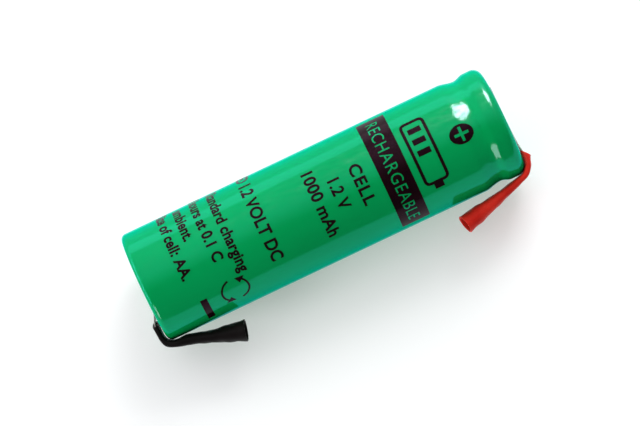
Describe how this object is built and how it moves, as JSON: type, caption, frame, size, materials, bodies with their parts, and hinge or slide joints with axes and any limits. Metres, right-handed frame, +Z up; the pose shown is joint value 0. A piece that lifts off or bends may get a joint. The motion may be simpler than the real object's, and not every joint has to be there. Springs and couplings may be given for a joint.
{
  "type": "rechargeable battery cell",
  "caption": "Cylindrical rechargeable cell in a shrunk plastic sleeve, with a nickel solder tag folded round each end corner inside an insulating tube.",
  "frame": {"origin": "centre of the bounding box's bottom face, on the surface that the cell lies on", "axes": "+X along the cell's axis towards its positive end, +Z up from the surface it lies on; both tags fold on the -Y side"},
  "size_m": [0.0508, 0.0184, 0.0144],
  "materials": {
    "shrink_film": "glossy green shrink film",
    "plated_steel": "nickel-plated deep-drawn steel",
    "nickel_strip": "rolled nickel strip with a fine lengthways grain",
    "red_tubing": "satin soft tubing",
    "black_tubing": "satin soft tubing",
    "white_fibre": "pressed fibre",
    "nylon": "natural moulded nylon",
    "vent_rubber": "moulded rubber",
    "separator_felt": "non-woven fibre",
    "hydroxide_electrode": "rolled paste on nickel foam",
    "alloy_electrode": "rolled alloy powder on a steel strip",
    "print_ink": "thin dark print on the shrink film",
    "insulator_card": "pressed fibre"
  },
  "bodies": {
    "cell": {"heat_shrink_sleeve": "shrink_film", "steel_can": "plated_steel", "insulating_washer": "white_fibre", "seal_gasket": "nylon", "lid_plate": "plated_steel", "positive_cap": "plated_steel", "inner_separator": "separator_felt", "positive_electrode": "hydroxide_electrode", "outer_separator": "separator_felt", "negative_electrode": "alloy_electrode", "top_insulator_disc": "insulator_card", "bottom_insulator_disc": "insulator_card", "positive_collector_lead": "nickel_strip", "positive_tag_pad": "nickel_strip", "positive_sleeve_heel": "red_tubing", "negative_tag_pad": "nickel_strip", "negative_sleeve_heel": "black_tubing"},
    "positive_tag": {"positive_tag_leg": "nickel_strip", "positive_tag_sleeve": "red_tubing"},
    "negative_tag": {"negative_tag_leg": "nickel_strip", "negative_tag_sleeve": "black_tubing"},
    "vent": {"vent_plug": "vent_rubber"}
  },
  "joints": [
    {"name": "positive_tag_bend", "type": "hinge", "parent": "cell", "child": "positive_tag", "pos_m": [0.02492, -0.00529, 0.00567], "axis": [0, -0.2079, 0.9781], "range_deg": [-4, 76]},
    {"name": "negative_tag_bend", "type": "hinge", "parent": "cell", "child": "negative_tag", "pos_m": [-0.025, -0.00539, 0.00565], "axis": [0, 0.2079, -0.9781], "range_deg": [-4, 75]},
    {"name": "vent_lift", "type": "slide", "parent": "cell", "child": "vent", "axis": [1, 0, 0], "range_m": [0, 0.0003], "stiffness_N_per_m": 27000}
  ]
}
